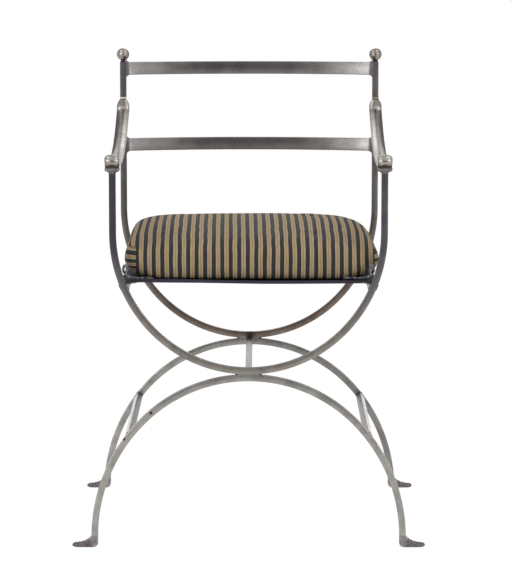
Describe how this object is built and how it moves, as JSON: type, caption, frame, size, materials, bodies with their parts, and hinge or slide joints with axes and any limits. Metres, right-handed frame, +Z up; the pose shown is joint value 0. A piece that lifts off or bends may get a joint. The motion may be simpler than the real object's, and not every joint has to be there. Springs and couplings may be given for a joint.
{
  "type": "savonarola armchair",
  "caption": "Rigid armchair of brushed square steel bar: two U frames on inverted U legs, open back rails, rolled arms and a striped tied-on seat cushion.",
  "frame": {"origin": "centre of the chair's bounding box at the floor", "axes": "+X to the chair's left as seen from behind, to the right as seen from the front; -Y is the front; +Z up"},
  "size_m": [0.639, 0.5338, 0.8593],
  "materials": {
    "frame_steel": "brushed and waxed",
    "rail_steel": "brushed lengthwise",
    "arm_steel": "polished satin",
    "forged_steel": "hammered, darker",
    "sling_canvas": "black canvas",
    "striped_fabric": "woven stripe",
    "tie_ribbon": "satin ribbon"
  },
  "bodies": {
    "root": {"front_u_frame": "frame_steel", "rear_u_frame": "frame_steel", "front_leg_arch": "frame_steel", "rear_leg_arch": "frame_steel", "centre_stretcher": "frame_steel", "left_leg_stretcher": "frame_steel", "right_leg_stretcher": "frame_steel", "left_seat_rail": "frame_steel", "right_seat_rail": "frame_steel", "top_back_rail": "rail_steel", "lower_back_rail": "rail_steel", "left_arm": "arm_steel", "right_arm": "arm_steel", "left_arm_cap": "arm_steel", "right_arm_cap": "arm_steel", "left_finial": "arm_steel", "right_finial": "arm_steel", "front_joint_weld": "forged_steel", "rear_joint_weld": "forged_steel", "front_left_foot": "forged_steel", "front_right_foot": "forged_steel", "rear_left_foot": "forged_steel", "rear_right_foot": "forged_steel", "seat_sling": "sling_canvas", "cushion": "striped_fabric", "front_left_tie": "tie_ribbon", "front_right_tie": "tie_ribbon", "rear_left_tie": "tie_ribbon", "rear_right_tie": "tie_ribbon"}
  },
  "joints": []
}
